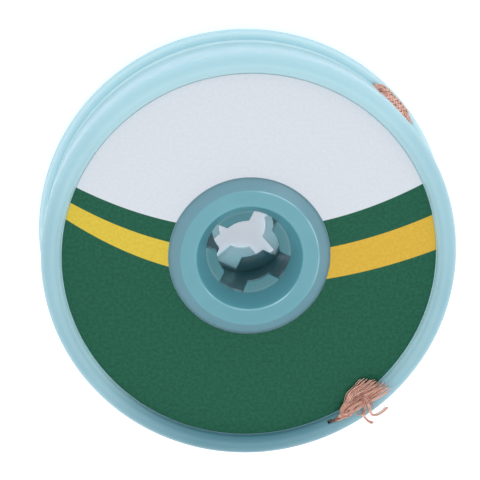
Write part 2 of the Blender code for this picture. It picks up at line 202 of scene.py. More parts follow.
def finished(name, shape, material):
    """Turns a bmesh into an object with outward normals, smooth but for its sharp edges."""
    bmesh.ops.recalc_face_normals(shape, faces=shape.faces)
    limit = math.radians(SHARP_ANGLE)
    for face in shape.faces:
        face.smooth = True
    for edge in shape.edges:
        edge.smooth = len(edge.link_faces) != 2 or edge.calc_face_angle(0.0) < limit
    mesh = bpy.data.meshes.new(name)
    shape.to_mesh(mesh)
    shape.free()
    mesh.materials.append(material)
    made = bpy.data.objects.new(name, mesh)
    bpy.context.scene.collection.objects.link(made)
    return made


def grid_solid(name, rings, material):
    """A solid from closed rings of points, each ring joined to the next and the last to the first."""
    shape = bmesh.new()
    rows = [[shape.verts.new(point) for point in ring] for ring in rings]
    for row, following in zip(rows, rows[1:] + rows[:1]):
        for j in range(len(row)):
            k = (j + 1) % len(row)
            shape.faces.new((row[j], row[k], following[k], following[j]))
    return finished(name, shape, material)


def turned(name, outline, material, segments=SEGMENTS):
    """A solid of revolution from a closed outline of (radius, height) points."""
    rings = []
    for x, y in outline:
        rings.append([polar(x, 360.0 * j / segments, y) for j in range(segments)])
    return grid_solid(name, rings, material)


def notched_outline(inner, gap_width, reach, gap_angle, samples=720):
    """The inner edge of a ring of four teeth, with its corners eased, and the way into the teeth."""
    points = []
    half = gap_width / 2
    for j in range(samples):
        angle = 360.0 * j / samples
        off = math.radians((angle - gap_angle + TOOTH_PITCH / 2) % TOOTH_PITCH - TOOTH_PITCH / 2)
        side = half / max(abs(math.sin(off)), 1e-9)
        end = reach / math.cos(off)
        radius = max(inner, min(side, end))
        points.append(polar(radius, angle, 0.0).to_2d())
    points = np.array(points)
    steps = np.linalg.norm(np.roll(points, -1, 0) - points, axis=1)
    lengths = np.concatenate([[0.0], np.cumsum(steps)])
    closed = np.vstack([points, points[:1]])
    even = np.linspace(0.0, lengths[-1], samples, endpoint=False)
    points = np.column_stack([np.interp(even, lengths, closed[:, axis]) for axis in (0, 1)])
    for _ in range(EASING_ROUNDS):
        points = 0.25 * np.roll(points, 1, 0) + 0.5 * points + 0.25 * np.roll(points, -1, 0)
    along = np.roll(points, -1, 0) - np.roll(points, 1, 0)
    along /= np.linalg.norm(along, axis=1)[:, None]
    into = np.column_stack([along[:, 1], -along[:, 0]])
    return points, into


def toothed_ring(name, inner, outer, heights, gap, slope, material):
    """A flat ring with four teeth round its hole, between two heights, its edges bevelled."""
    bottom, top = heights
    edge, into = notched_outline(inner, *gap)
    reach = np.linalg.norm(edge, axis=1)
    outer_edge = edge / reach[:, None] * outer

    def ring(points, height):
        radii = np.linalg.norm(points, axis=1)
        rise = slope * (radii - inner)
        return [Vector((x, y, height + lift)) for (x, y), lift in zip(points, rise)]

    rings = [
        ring(outer_edge, top),
        ring(edge + into * TOOTH_BEVEL, top),
        ring(edge + into * TOOTH_BEVEL * BEVEL_MIDDLE, top - TOOTH_BEVEL * BEVEL_MIDDLE),
        ring(edge, top - TOOTH_BEVEL),
        ring(edge, bottom + TOOTH_BEVEL),
        ring(edge + into * TOOTH_BEVEL * BEVEL_MIDDLE, bottom + TOOTH_BEVEL * BEVEL_MIDDLE),
        ring(edge + into * TOOTH_BEVEL, bottom),
        ring(outer_edge, bottom),
    ]
    return grid_solid(name, rings, material)


def block(name, size, place, angle, corner):
    """A box for cutting, with the four edges along its first side rounded."""
    half_length, half_height = size[1] / 2, size[2] / 2
    corners = [
        (half_length, half_height, corner),
        (-half_length, half_height, corner),
        (-half_length, -half_height, corner),
        (half_length, -half_height, corner),
    ]
    outline = rounded(corners, 5)
    shape = bmesh.new()
    ends = []
    for x in (-size[0] / 2, size[0] / 2):
        ends.append([shape.verts.new((x, y, z)) for y, z in outline])
        shape.faces.new(ends[-1])
    for j in range(len(outline)):
        k = (j + 1) % len(outline)
        shape.faces.new((ends[0][j], ends[0][k], ends[1][k], ends[1][j]))
    bmesh.ops.recalc_face_normals(shape, faces=shape.faces)
    mesh = bpy.data.meshes.new(name)
    shape.to_mesh(mesh)
    shape.free()
    made = bpy.data.objects.new(name, mesh)
    made.location = place
    made.rotation_euler = (0.0, 0.0, math.radians(angle))
    bpy.context.scene.collection.objects.link(made)
    return made


def cut(target, *cutters):
    """Cuts each cutter out of the target."""
    for cutter in cutters:
        modifier = target.modifiers.new("Cut", "BOOLEAN")
        modifier.operation = "DIFFERENCE"
        modifier.object = cutter
        modifier.solver = "EXACT"
    bpy.context.view_layer.update()
    graph = bpy.context.evaluated_depsgraph_get()
    mesh = bpy.data.meshes.new_from_object(target.evaluated_get(graph), depsgraph=graph)
    target.modifiers.clear()
    target.data = mesh


# Materials

class Nodes:
    """Short ways to make the nodes of one material."""

    def __init__(self, name):
        self.material = bpy.data.materials.new(name)
        self.material.use_nodes = True
        self.tree = self.material.node_tree
        self.shader = self.tree.nodes["Principled BSDF"]

    def link(self, source, target):
        self.tree.links.new(source, target)

    def put(self, socket, value):
        if isinstance(value, bpy.types.NodeSocket):
            self.link(value, socket)
        elif isinstance(value, tuple) and len(value) == 3 and socket.type == "RGBA":
            socket.default_value = (*value, 1.0)
        else:
            socket.default_value = value

    def place(self):
        return self.tree.nodes.new("ShaderNodeTexCoord").outputs["Object"]

    def math(self, operation, *values):
        node = self.tree.nodes.new("ShaderNodeMath")
        node.operation = operation
        for socket, value in zip(node.inputs, values):
            self.put(socket, value)
        return node.outputs[0]

    def times(self, first, second):
        return self.math("MULTIPLY", first, second)

    def noise(self, vector, scale, detail, roughness=0.5):
        node = self.tree.nodes.new("ShaderNodeTexNoise")
        self.put(node.inputs["Vector"], vector)
        node.inputs["Scale"].default_value = scale
        node.inputs["Detail"].default_value = detail
        node.inputs["Roughness"].default_value = roughness
        return node.outputs["Fac"]

    def ramp(self, value, low, high, to_low=0.0, to_high=1.0):
        """Goes smoothly from to_low to to_high while the value goes from low to high."""
        node = self.tree.nodes.new("ShaderNodeMapRange")
        node.interpolation_type = "SMOOTHSTEP"
        names = ("Value", "From Min", "From Max", "To Min", "To Max")
        for name, number in zip(names, (value, low, high, to_low, to_high)):
            self.put(node.inputs[name], number)
        return node.outputs["Result"]

    def mix(self, factor, first, second):
        node = self.tree.nodes.new("ShaderNodeMix")
        node.data_type = "RGBA"
        self.put(node.inputs["Factor"], factor)
        self.put(node.inputs[6], first)
        self.put(node.inputs[7], second)
        return node.outputs[2]

    def split(self, vector):
        node = self.tree.nodes.new("ShaderNodeSeparateXYZ")
        self.link(vector, node.inputs[0])
        return node.outputs[0], node.outputs[1], node.outputs[2]

    def bump(self, height, distance, strength, normal=None):
        node = self.tree.nodes.new("ShaderNodeBump")
        node.inputs["Distance"].default_value = distance
        node.inputs["Strength"].default_value = strength
        self.link(height, node.inputs["Height"])
        if normal is not None:
            self.link(normal, node.inputs["Normal"])
        return node.outputs["Normal"]

    def set(self, **values):
        for name, value in values.items():
            self.put(self.shader.inputs[name.replace("_", " ")], value)
        return self.material


# Most values of a noise lie in this span
NOISE_SPAN = (0.3, 0.7)

# The plastic's colours in linear light, and how it bends light
THIN_WEB_SHADES = ((0.52, 0.80, 0.84), (0.58, 0.84, 0.88))
HUB_SHADES = ((0.110, 0.350, 0.415), (0.130, 0.380, 0.445))
COLLAR_SLOPE_COLOR = (0.165, 0.345, 0.420)
# Painted shade down the bore, under the funnel's foot
BORE_PAINTED_SHADE = (0.065, 0.250, 0.290)
# Painted highlight along the round edges of the collar's top
EDGE_PAINTED_HIGHLIGHT = (0.50, 0.80, 0.85)
# Painted shade and painted light on the rim: deep at the low end of Y, paler towards the high end
RIM_SHADE_AND_LIGHT = ((0.085, 0.250, 0.305), (0.430, 0.680, 0.755))
# Painted shade on the skirt
SKIRT_PAINTED_SHADE = (0.20, 0.47, 0.55)
# Painted light in the crease at the parting of the halves
PARTING_PAINTED_LIGHT = (0.60, 0.86, 0.93)
# Painted light in the crease at the front ring's foot, and painted shade there at the low end of Y
FOOT_PAINTED_LIGHT = (0.52, 0.80, 0.86)
FOOT_PAINTED_SHADE = (0.060, 0.215, 0.275)
PLASTIC_IOR = 1.49

# Stretches over which the plastic's colour changes: places along Y
SHADED_BOTTOM_Y = (-29.0 * MM, -16.0 * MM)
TOWARD_LIT_TOP_Y = (-16.0 * MM, 27.0 * MM)
FOOT_SHADE_TO_LIGHT_Y = (-25.0 * MM, -13.0 * MM)
MOUTH_HIGHLIGHT_Y = (-6.0 * MM, -3.0 * MM)

# The same in radius from the axis
BORE_SHADE_RADII = (6.6 * MM, 7.0 * MM)
COLLAR_SLOPE_RADII = (COLLAR_TOP_RADIUS - 0.05 * MM, COLLAR_TOP_RADIUS + 0.1 * MM)
HUB_TO_RIM_RADII = (10.5 * MM, 13.0 * MM)
FOOT_LIGHT_RADII = (24.4 * MM, 25.1 * MM)
FOOT_SHADE_RADII = (24.7 * MM, 26.4 * MM)

# The same in height
BORE_SHADE_HEIGHTS = (FUNNEL_FOOT_HEIGHT - 0.06 * MM, FUNNEL_FOOT_HEIGHT + 0.02 * MM)
COLLAR_TOP_HEIGHTS = (15.75 * MM, 15.9 * MM)
SKIRT_LOW_HEIGHTS = (5.0 * MM, 7.0 * MM)
SKIRT_HIGH_HEIGHTS = (14.0 * MM, 15.6 * MM)
PARTING_LOW_HEIGHTS = (2.0 * MM, 2.7 * MM)
PARTING_HIGH_HEIGHTS = (4.9 * MM, 6.5 * MM)

# Painted highlights along two round edges of the collar's top: their radii, their softness, and where
# the outer one shows, which is measured along a line that leans from +X towards +Y
MOUTH_HIGHLIGHT_RADIUS = MOUTH_RADIUS + 0.12 * MM
COLLAR_HIGHLIGHT_RADIUS = COLLAR_TOP_RADIUS - 0.03 * MM
HIGHLIGHT_EDGE_REACH = (0.03 * MM, 0.12 * MM)
COLLAR_HIGHLIGHT_LEAN = 0.6
COLLAR_HIGHLIGHT_SIDE = (1.0 * MM, 8.0 * MM)


def plastic_roughness(n, place):
    """A moulded surface that handling has dulled in patches."""
    return n.ramp(n.noise(place, scale=420.0, detail=3.0), *NOISE_SPAN, 0.30, 0.40)


def plastic_waves(n, place, normal=None):
    """The faint waves of a moulded surface."""
    return n.bump(n.noise(place, scale=260.0, detail=2.0), 0.02 * MM, 0.6, normal)


def thin_plastic():
    """The same plastic where it is a thin web, which lets more light through."""
    n = Nodes("thin_teal_plastic")
    place = n.place()
    cloud = n.noise(place, scale=300.0, detail=3.0)
    return n.set(
        Base_Color=n.mix(n.ramp(cloud, *NOISE_SPAN), *THIN_WEB_SHADES),
        Roughness=plastic_roughness(n, place),
        Normal=plastic_waves(n, place),
        IOR=PLASTIC_IOR,
        Subsurface_Weight=1.0,
        Subsurface_Radius=(4.0 * MM, 4.3 * MM, 4.3 * MM),
        Subsurface_Scale=1.0,
    )


def hub_color(n, place, cloud, radius, x, y, z):
    """Deep teal: greyer on the collar's slope, painted shade down the bore, painted highlights on the
    top's edges.
    """
    color = n.mix(n.ramp(cloud, *NOISE_SPAN), *HUB_SHADES)
    color = n.mix(n.ramp(radius, *COLLAR_SLOPE_RADII), color, COLLAR_SLOPE_COLOR)
    # Painted shade down the bore, under the funnel's foot
    painted_bore_shade = n.times(n.ramp(radius, *BORE_SHADE_RADII, 1.0, 0.0), n.ramp(z, *BORE_SHADE_HEIGHTS, 1.0, 0.0))
    color = n.mix(painted_bore_shade, color, BORE_PAINTED_SHADE)
    patches = n.ramp(n.noise(place, scale=240.0, detail=2.0), 0.35, 0.62, 0.3, 1.0)
    # Painted highlights in patches on the collar top's edges: the mouth's edge towards low Y, the
    # outer edge towards +X and +Y
    highlighted_top = n.times(n.ramp(z, *COLLAR_TOP_HEIGHTS), patches)

    def edge_highlight(edge_radius, strength):
        """Painted highlight: strength within a thin line along a round edge of the collar's top, and
        zero elsewhere.
        """
        off = n.math("ABSOLUTE", n.math("SUBTRACT", radius, edge_radius))
        return n.times(n.times(highlighted_top, strength), n.ramp(off, *HIGHLIGHT_EDGE_REACH, 1.0, 0.0))

    mouth_highlight = edge_highlight(MOUTH_HIGHLIGHT_RADIUS, n.ramp(y, *MOUTH_HIGHLIGHT_Y, 0.7, 0.0))
    side = n.math("ADD", x, n.times(y, COLLAR_HIGHLIGHT_LEAN))
    collar_highlight = edge_highlight(COLLAR_HIGHLIGHT_RADIUS, n.ramp(side, *COLLAR_HIGHLIGHT_SIDE, 0.0, 0.55))
    return n.mix(n.math("MAXIMUM", mouth_highlight, collar_highlight), color, EDGE_PAINTED_HIGHLIGHT)


def rim_color(n, cloud, radius, y, z):
    """Painted shade at the low end of Y and painted light towards the other side, with a little
    random tone;
    painted shade on the skirt, painted light at the parting of the halves, and painted light at the
    foot of the front ring that turns to painted shade at the low end of Y."""
    # Painted shade at the low end of Y, fading to painted light towards the high end, with a little
    # random tone
    out_of_shade = n.ramp(y, *SHADED_BOTTOM_Y, 0.0, 0.62)
    toward_light = n.ramp(y, *TOWARD_LIT_TOP_Y, 0.0, 0.38)
    painted_lightness = n.math("ADD", n.math("ADD", out_of_shade, toward_light), n.ramp(cloud, *NOISE_SPAN, -0.05, 0.05))
    color = n.mix(painted_lightness, *RIM_SHADE_AND_LIGHT)
    # Painted shade on the skirt, between its foot and the front flange
    skirt = n.times(n.ramp(z, *SKIRT_LOW_HEIGHTS), n.ramp(z, *SKIRT_HIGH_HEIGHTS, 0.5, 0.0))
    color = n.mix(skirt, color, SKIRT_PAINTED_SHADE)
    # Painted light in the crease at the parting of the halves
    parting = n.times(n.ramp(z, *PARTING_LOW_HEIGHTS), n.ramp(z, *PARTING_HIGH_HEIGHTS, 0.8, 0.0))
    color = n.mix(parting, color, PARTING_PAINTED_LIGHT)
    # Painted light in the crease at the front ring's foot, turning to wider painted shade at the low
    # end of Y
    above_seat = n.ramp(z, SEAT_HEIGHT, LABEL_TOP)
    lit_end = n.ramp(y, *FOOT_SHADE_TO_LIGHT_Y)
    shaded_end = n.math("SUBTRACT", 1.0, lit_end)
    foot_light = n.times(above_seat, n.ramp(radius, *FOOT_LIGHT_RADII, 0.85, 0.0))
    foot_shade = n.times(above_seat, n.ramp(radius, *FOOT_SHADE_RADII, 0.85, 0.0))
    color = n.mix(n.times(foot_light, lit_end), color, FOOT_PAINTED_LIGHT)
    return n.mix(n.times(foot_shade, shaded_end), color, FOOT_PAINTED_SHADE)


def teal_plastic():
    """Moulded translucent teal plastic: deep in colour at the thick hub, with painted shade on the
    rim at the low end of Y and painted light towards the other side."""
    n = Nodes("teal_plastic")
    place = n.place()
    x, y, z = n.split(place)
    radius = n.math("SQRT", n.math("ADD", n.times(x, x), n.times(y, y)))
    cloud = n.noise(place, scale=60.0, detail=3.0)
    hub = hub_color(n, place, cloud, radius, x, y, z)
    rim = rim_color(n, cloud, radius, y, z)
    grain = n.bump(n.noise(place, scale=5200.0, detail=2.0), 0.004 * MM, 0.5)
    return n.set(
        Base_Color=n.mix(n.ramp(radius, *HUB_TO_RIM_RADII), hub, rim),
        Roughness=plastic_roughness(n, place),
        Normal=plastic_waves(n, place, grain),
        IOR=PLASTIC_IOR,
        Subsurface_Weight=0.35,
        Subsurface_Radius=(2.0 * MM, 3.2 * MM, 3.6 * MM),
        Subsurface_Scale=1.0,
        Coat_Weight=0.3,
        Coat_Roughness=0.12,
    )


# The label's colours in linear light, each in two shades of the paper's grain
GREENS = ((0.009, 0.092, 0.052), (0.016, 0.124, 0.071))
LEFT_YELLOWS = ((0.70, 0.51, 0.050), (0.76, 0.57, 0.065))
RIGHT_YELLOWS = ((0.69, 0.43, 0.046), (0.75, 0.48, 0.060))
WHITES = ((0.70, 0.735, 0.79), (0.73, 0.765, 0.82))
PAPER_EDGE_COLOR = (0.66, 0.68, 0.68)
PAPER_EDGE_HEIGHTS = (LABEL_TOP - 0.06 * MM, LABEL_TOP - 0.03 * MM)

# The printed curves y = rise + bend * x squared, as (rise, bend), and the softness of their edges
WHITE_CURVE = (3.54 * MM, 11.8)
LEFT_BAND_CURVES = ((-2.90 * MM, 14.4), (0.61 * MM, 12.7))
RIGHT_BAND_CURVES = ((-4.03 * MM, 7.8), (0.02 * MM, 9.3))
PRINT_SOFTNESS = 0.04 * MM


def printed_paper():
    """The coated label: white above, green below, and a yellow band through the green each side."""
    n = Nodes("printed_paper")
    place = n.place()
    x, y, z = n.split(place)
    square = n.times(x, x)

    def above(rise, bend):
        """One above a printed curve and zero below it."""
        curve = n.math("ADD", n.times(square, bend), rise)
        return n.ramp(n.math("SUBTRACT", y, curve), -PRINT_SOFTNESS, PRINT_SOFTNESS)

    def between(lower, upper):
        return n.math("SUBTRACT", above(*lower), above(*upper))

    on_right = n.math("GREATER_THAN", x, 0.0)
    on_left = n.math("SUBTRACT", 1.0, on_right)
    band = n.math("ADD", n.times(on_right, between(*RIGHT_BAND_CURVES)),
                  n.times(on_left, between(*LEFT_BAND_CURVES)))
    fiber = n.noise(place, scale=2400.0, detail=3.0, roughness=0.6)
    mottle = n.ramp(fiber, 0.35, 0.65)
    yellow = n.mix(on_right, n.mix(mottle, *LEFT_YELLOWS), n.mix(mottle, *RIGHT_YELLOWS))
    color = n.mix(band, n.mix(mottle, *GREENS), yellow)
    color = n.mix(above(*WHITE_CURVE), color, n.mix(mottle, *WHITES))
    color = n.mix(n.ramp(z, *PAPER_EDGE_HEIGHTS), PAPER_EDGE_COLOR, color)
    return n.set(
        Base_Color=color,
        Roughness=n.ramp(fiber, *NOISE_SPAN, 0.42, 0.55),
        Normal=n.bump(n.noise(place, scale=2600.0, detail=3.0), 0.006 * MM, 0.5),
        Specular_IOR_Level=0.15,
    )


# The copper's colours in linear light, as (light, dark): of the wires in sight, and of the roll
WIRE_COPPER = ((0.99, 0.68, 0.57), (0.60, 0.285, 0.21))
ROLL_COPPER = ((0.76, 0.46, 0.38), (0.56, 0.31, 0.25))

# How much of a wire's tone comes from patches along it, and how much is the wire's own
PATCH_SHARE = 0.35
WIRE_SHARE = 0.65

# Painted shade on the free end where it comes out of the slot
SLOT_SHADE_PLACE = (10.4 * MM, -22.6 * MM, 15.5 * MM)
SLOT_SHADE_REACH = (0.8 * MM, 2.1 * MM)
SLOT_SHADE_STRENGTH = 0.95
SLOT_SHADE_COLOR = (0.17, 0.095, 0.072)

# The bump that stands for crossing wires: its waves in radians to the metre, its depth and its shade
CROSSING_WAVES = 9000.0
CROSSING_DEPTH = 0.05 * MM
CROSSING_SPAN = (-0.4, 0.8)
CROSSING_SHADE = 0.4


def copper(name, light, dark, weave=False):
    """Copper wire, with painted shade where it comes out of the slot.

    With weave, the crossing wires are a bump, for stretches that are out of sight.
    """
    n = Nodes(name)
    place = n.place()
    each = n.tree.nodes.new("ShaderNodeNewGeometry").outputs["Random Per Island"]
    patches = n.ramp(n.noise(place, scale=1400.0, detail=3.0), 0.32, 0.68)
    tone = n.math("ADD", n.times(patches, PATCH_SHARE), n.times(each, WIRE_SHARE))
    color = n.mix(tone, dark, light)
    bend = n.tree.nodes.new("ShaderNodeVectorMath")
    bend.operation = "DISTANCE"
    n.link(place, bend.inputs[0])
    bend.inputs[1].default_value = SLOT_SHADE_PLACE
    # Painted shade on the wires round the slot's mouth
    slot_shade = n.ramp(bend.outputs["Value"], *SLOT_SHADE_REACH, SLOT_SHADE_STRENGTH, 0.0)
    color = n.mix(slot_shade, color, SLOT_SHADE_COLOR)
    normal = n.bump(n.noise(place, scale=9000.0, detail=2.0), 0.004 * MM, 0.4)
    if weave:
        x, y, z = n.split(place)
        turn = n.times(n.math("ARCTAN2", y, x), OUTER_TURN_RADIUS)
        first = n.math("SINE", n.times(n.math("ADD", turn, z), CROSSING_WAVES))
        second = n.math("SINE", n.times(n.math("SUBTRACT", turn, z), CROSSING_WAVES))
        crossing = n.math("MAXIMUM", first, second)
        normal = n.bump(crossing, CROSSING_DEPTH, 0.8, normal)
        hollow = tuple(CROSSING_SHADE * channel for channel in dark)
        color = n.mix(n.ramp(crossing, *CROSSING_SPAN), hollow, color)
    return n.set(
        Base_Color=color,
        Metallic=1.0,
        Roughness=n.ramp(n.noise(place, scale=3000.0, detail=2.0), *NOISE_SPAN, 0.30, 0.46),
        Normal=normal,
    )


# The moulded halves and the label

def front_outline():
    """The front half's section, from its crest outwards: corners (radius, height, fillet)."""
    outer = arc((CREST_RADIUS, BOBBIN_HEIGHT - RING_ROUND_DEPTH),
                (RING_RADIUS - CREST_RADIUS, RING_ROUND_DEPTH), 90.0, 0.0, OUTER_ARC_STEPS)
    inner = arc((CREST_RADIUS, BOBBIN_HEIGHT - FACE_RECESS),
                (CREST_RADIUS - RECESS_RADIUS, FACE_RECESS), 180.0, 90.0, INNER_ARC_STEPS)
    underside = SEAT_HEIGHT - FLANGE_THICKNESS
    teeth_bottom = UPPER_TEETH_TOP - TOOTH_THICKNESS
    corners = [
        *outer,
        (LIP_RADIUS, LIP_HEIGHT, 0.25 * MM),
        (CHAMBER_RADIUS, LIP_HEIGHT, 0.15 * MM),
        (CHAMBER_RADIUS, underside, 0.4 * MM),
        (TUBE_RADIUS, underside, 0.3 * MM),
        (TUBE_RADIUS, TUBE_END_HEIGHT, 0.15 * MM),
        (TUBE_BORE_RADIUS, TUBE_END_HEIGHT, 0.1 * MM),
        (TUBE_BORE_RADIUS, teeth_bottom, 0.1 * MM),
        (FUNNEL_FOOT_RADIUS, teeth_bottom, 0.0),
        (FUNNEL_FOOT_RADIUS, FUNNEL_FOOT_HEIGHT, 0.06 * MM),
        (MOUTH_RADIUS, BOBBIN_HEIGHT, 0.22 * MM),
        (COLLAR_TOP_RADIUS, BOBBIN_HEIGHT, 0.25 * MM),
        (COLLAR_BASE_RADIUS, SEAT_HEIGHT, 0.2 * MM),
        (FOOT_RADIUS, SEAT_HEIGHT, 0.0),
        (FOOT_RADIUS, FOOT_LOW, 0.02 * MM),
        (RECESS_RADIUS, FOOT_HIGH, 0.03 * MM),
        *inner[:-1],
    ]
    return rounded(corners)


def back_outline():
    """The back half's section, from its skirt outwards: corners (radius, height, fillet)."""
    shoulder = arc((SHOULDER_RADIUS, RING_ROUND_DEPTH),
                   (RING_RADIUS - SHOULDER_RADIUS, SHOULDER_HEIGHT - RING_ROUND_DEPTH),
                   90.0, 0.0, SHOULDER_ARC_STEPS)
    outer = arc((CREST_RADIUS, RING_ROUND_DEPTH),
                (RING_RADIUS - CREST_RADIUS, RING_ROUND_DEPTH), 0.0, -90.0, OUTER_ARC_STEPS)
    inner = arc((CREST_RADIUS, FACE_RECESS),
                (CREST_RADIUS - RECESS_RADIUS, FACE_RECESS), -90.0, -180.0, INNER_ARC_STEPS)
    seat = BOBBIN_HEIGHT - SEAT_HEIGHT
    flange_top = seat + FLANGE_THICKNESS
    corners = [
        (BACK_SKIRT_RADIUS, PARTING_HEIGHT, 0.12 * MM),
        (BACK_SKIRT_RADIUS, SHOULDER_HEIGHT + GROOVE_WIDTH, 0.1 * MM),
        (BACK_SKIRT_RADIUS - GROOVE_DEPTH, SHOULDER_HEIGHT + GROOVE_WIDTH / 2, 0.05 * MM),
        (BACK_SKIRT_RADIUS - GROOVE_DEPTH, SHOULDER_HEIGHT, 0.0),
        *shoulder,
        *outer[1:],
        *inner[1:],
        (RECESS_RADIUS, seat, 0.1 * MM),
        (COLLAR_BASE_RADIUS, seat, 0.2 * MM),
        (COLLAR_TOP_RADIUS, 0.0, 0.25 * MM),
        (TUBE_BORE_RADIUS, 0.0, 0.0),
        (TUBE_BORE_RADIUS, END_PLATE_THICKNESS, 0.0),
        (SOCKET_RADIUS, END_PLATE_THICKNESS, 0.1 * MM),
        (SOCKET_RADIUS, ROLL_TOP, 0.1 * MM),
        (SLEEVE_RADIUS, ROLL_TOP, 0.15 * MM),
        (SLEEVE_RADIUS, flange_top, 0.3 * MM),
        (CHAMBER_RADIUS, flange_top, 0.4 * MM),
        (CHAMBER_RADIUS, PARTING_HEIGHT, 0.12 * MM),
    ]
    return rounded(corners)


def build_shells(material, thin):
    front = turned("front_moulding", front_outline(), material)
    back = turned("back_moulding", back_outline(), material)
    window_size = (WINDOW_CUT_DEPTH, WINDOW_LENGTH, WINDOW_TOP - WINDOW_BOTTOM)
    window_place = polar(RING_RADIUS, WINDOW_ANGLE, (WINDOW_TOP + WINDOW_BOTTOM) / 2)
    windows = [
        block(f"window_{number}", window_size, window_place, WINDOW_ANGLE, WINDOW_CORNER)
        for number in range(2)
    ]
    slot_size = (SLOT_MOUTH_WIDTH, SLOT_MOUTH_LENGTH, SLOT_DEPTH + SLOT_OVERSHOOT)
    slot_middle = BOBBIN_HEIGHT + (SLOT_OVERSHOOT - SLOT_DEPTH) / 2
    slot_place = polar(SLOT_RADIUS, SLOT_MOUTH_ANGLE, slot_middle)
    slot = block("slot", slot_size, slot_place, SLOT_MOUTH_ANGLE, SLOT_CORNER)
    cut(front, windows[0], slot)
    cut(back, windows[1])
    for cutter in (*windows, slot):
        bpy.data.objects.remove(cutter)

    tooth_gap = (TOOTH_GAP_WIDTH, TOOTH_GAP_REACH, TOOTH_GAP_ANGLE)
    tab_gap = (TAB_GAP_WIDTH, TAB_GAP_REACH, TAB_GAP_ANGLE)
    upper_heights = (UPPER_TEETH_TOP - TOOTH_THICKNESS, UPPER_TEETH_TOP)
    lower_heights = (LOWER_TEETH_TOP - TOOTH_THICKNESS, LOWER_TEETH_TOP)
    upper = toothed_ring(
        "front_teeth", TOOTH_RADIUS, FUNNEL_FOOT_RADIUS + TOOTH_OVERLAP,
        upper_heights, tooth_gap, TOOTH_SLOPE, material)
    lower = toothed_ring(
        "tube_end_teeth", TOOTH_RADIUS, TUBE_BORE_RADIUS + TOOTH_OVERLAP,
        lower_heights, tooth_gap, 0.0, material)
    plate = toothed_ring(
        "back_tabs", TAB_RADIUS, TUBE_BORE_RADIUS + TOOTH_OVERLAP,
        (0.0, END_PLATE_THICKNESS), tab_gap, 0.0, thin)
    for piece in (front, upper, lower):
        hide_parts("front_shell")
    for piece in (back, plate):
        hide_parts("back_shell")
    for piece in (front, back, upper, lower, plate):
        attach(piece, "root")


def build_label(material):
    corners = [
        (LABEL_RADIUS, LABEL_TOP, 0.03 * MM),
        (LABEL_RADIUS, LABEL_BOTTOM, 0.0),
        (LABEL_HOLE_RADIUS, LABEL_BOTTOM, 0.0),
        (LABEL_HOLE_RADIUS, LABEL_TOP, 0.03 * MM),
    ]
    label = turned("printed_label", rounded(corners, 3), material)
    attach(label, "root")
    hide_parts("front_label")


# The braid

BRAID_WIDTH = 3.0 * MM
BRAID_THICKNESS = 0.6 * MM

# The weave: carriers wind both ways, once round the braid in each pitch, and sway in and out by the
# lift. The spacing of a carrier's wires and their inset below the surface are in wire radii, and
# each wire strays a little in or out
CARRIERS = 12
WEAVE_PITCH = 6.8 * MM
WIRE_RADIUS = 0.055 * MM
WIRE_SPACING = 2.15
WIRE_INSET = 1.5
WIRE_STRAY = 0.012 * MM
WINDOW_WIRES = 4
WINDOW_WEAVE_LIFT = 0.1 * MM
WINDOW_SPACING = 0.14 * MM

# The same where the braid runs inside the bobbin, with one thick wire to a carrier
HIDDEN_WIRE_RADIUS = 0.16 * MM
HIDDEN_WEAVE_LIFT = 0.07 * MM
HIDDEN_SPACING = 0.5 * MM
HIDDEN_SIDES = 4

# The braid in the window, where it bulges out and tilts
WINDOW_HEIGHT = (WINDOW_BOTTOM + WINDOW_TOP) / 2
WINDOW_BULGE = 1.9 * MM
WINDOW_TILT = 24.0
WINDOW_APPROACH = 6.0 * MM
WINDOW_SHIFT = 0.2 * MM

# Wires that stick out at the window's two ends, in millimetres
WINDOW_FRAY = (
    ((21.2, 16.1, 3.6), (21.65, 15.35, 3.9), (22.0, 14.6, 4.3)),
    ((21.45, 15.9, 3.5), (21.95, 15.15, 3.4), (22.3, 14.5, 3.3)),
    ((21.0, 16.3, 4.2), (21.35, 15.6, 4.8), (21.65, 15.0, 5.6)),
    ((17.6, 19.4, 3.7), (17.15, 19.75, 3.8), (16.7, 19.95, 4.3)),
    ((17.6, 19.6, 3.5), (17.2, 19.9, 3.4), (17.0, 20.1, 3.2)),
    ((17.45, 19.35, 4.0), (17.0, 19.7, 4.5), (16.65, 19.95, 5.2)),
)

# The way from the roll out to the rim, and on from the window up to the slot
LEAVE_ANGLE = 215.0
ARRIVE_ANGLE = 70.0
CLIMB_START = 12.0 * MM
CLIMB_ANGLE = -42.0
CLIMB_TOP = 11.4 * MM
SLOT_ENTRY_RISE = 1.4 * MM
SLOT_SWING = 1.0
FIT_GAP = 0.3 * MM
TWIST_WIDTH = 0.8 * MM
TWIST_THICKNESS = 0.5 * MM

# The free end's two long edges from the slot to the frayed tip, in millimetres: (left, right)
FREE_END_EDGES = (
    ((10.44, -22.46, 14.4), (10.53, -22.66, 14.4)),
    ((10.44, -22.54, 15.45), (10.52, -22.74, 15.5)),
    ((11.02, -22.30, 15.85), (11.13, -22.52, 15.98)),
    ((11.55, -21.97, 15.95), (11.75, -22.28, 16.1)),
    ((11.95, -21.45, 15.95), (12.45, -21.95, 16.25)),
    ((12.17, -20.74, 15.75), (13.20, -21.58, 16.3)),
    ((12.55, -19.85, 15.6), (14.07, -20.92, 16.3)),
    ((13.15, -18.65, 15.5), (15.00, -20.15, 16.3)),
    ((14.10, -17.50, 15.5), (16.60, -19.40, 16.35)),
    ((15.35, -16.55, 15.5), (18.95, -17.70, 16.4)),
)

